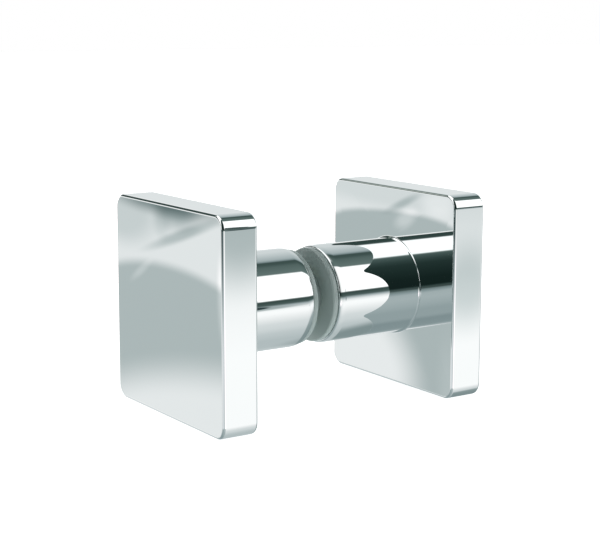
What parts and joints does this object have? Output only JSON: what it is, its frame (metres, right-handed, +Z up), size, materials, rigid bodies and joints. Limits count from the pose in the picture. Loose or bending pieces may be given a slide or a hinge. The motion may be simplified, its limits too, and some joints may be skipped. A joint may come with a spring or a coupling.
{
  "type": "shower door handle",
  "caption": "Back-to-back glass door handle: two chromed square plates on round stems, joined by a stud through the glass between clear washers.",
  "frame": {"origin": "on the stems' common axis, midway through the glass, which is the centre of the whole handle", "axes": "+Z up, +Y along the stems from the front knob to the rear knob, X along the glass"},
  "size_m": [0.05, 0.0732, 0.05],
  "materials": {
    "polished_chrome": "polished",
    "clear_plastic": "translucent soft plastic, semi-gloss",
    "plated_steel": "bright zinc plating",
    "turned_brass": "as turned"
  },
  "bodies": {
    "root": {"front_knob": "polished_chrome", "rear_knob": "polished_chrome", "front_washer": "clear_plastic", "rear_washer": "clear_plastic", "glass_sleeve": "clear_plastic", "stud": "plated_steel", "clamp_ferrule": "turned_brass", "grub_screw": "plated_steel"}
  },
  "joints": []
}
